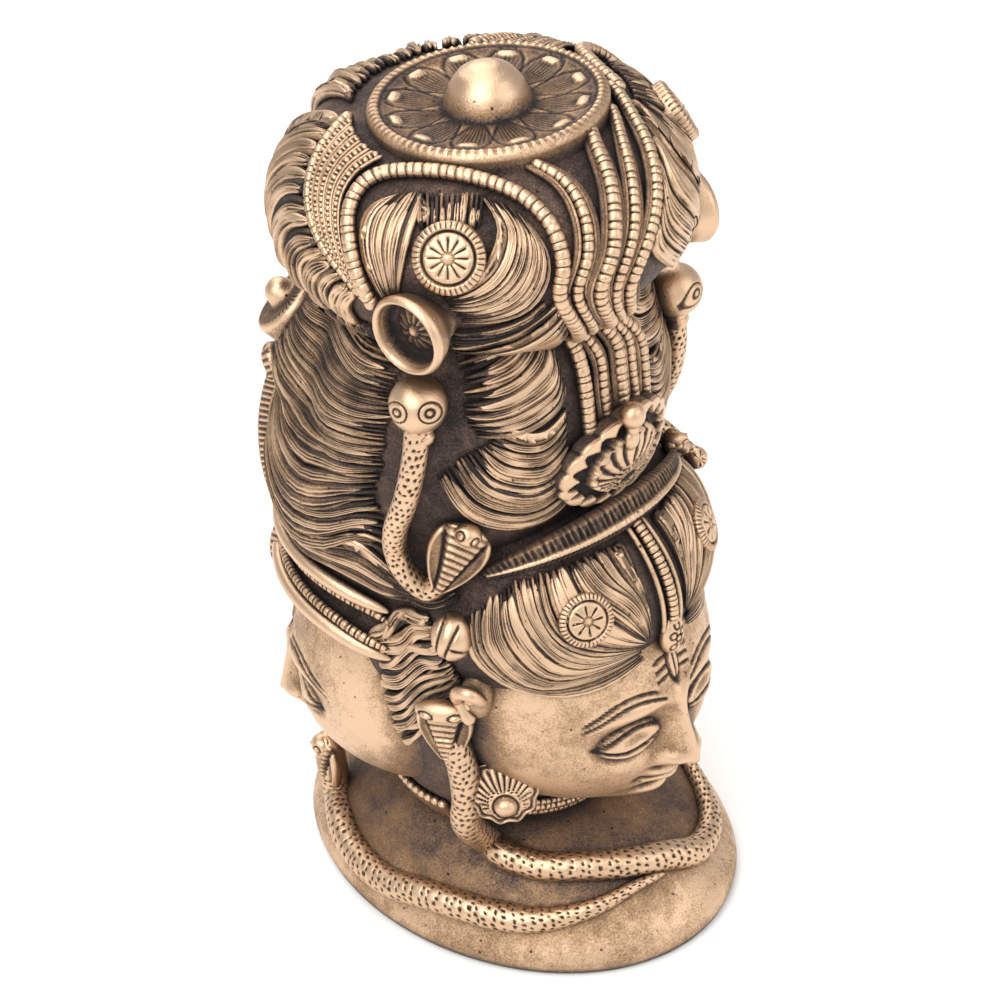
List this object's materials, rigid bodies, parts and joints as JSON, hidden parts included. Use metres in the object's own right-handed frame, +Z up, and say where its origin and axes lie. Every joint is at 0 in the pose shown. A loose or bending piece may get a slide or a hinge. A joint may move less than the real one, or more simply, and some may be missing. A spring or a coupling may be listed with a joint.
{
  "type": "double-headed deity bust",
  "caption": "Cast brass bust of crowned deity heads back to back under one tall mass of hair with a bun and rosette, cobras on the shoulders, and a flat oval foot.",
  "frame": {"origin": "on the flat underside of the oval foot, where the upright axis of the hair meets it", "axes": "+Z up, the front face looks along -Y, +X to the viewer's right when facing the front face"},
  "size_m": [0.0889, 0.11, 0.2035],
  "materials": {
    "antique_brass": "cast and chased, dark brown in the hollows, rubbed to a satin shine on the high points"
  },
  "bodies": {
    "root": {"double_bust": "antique_brass"}
  },
  "joints": []
}
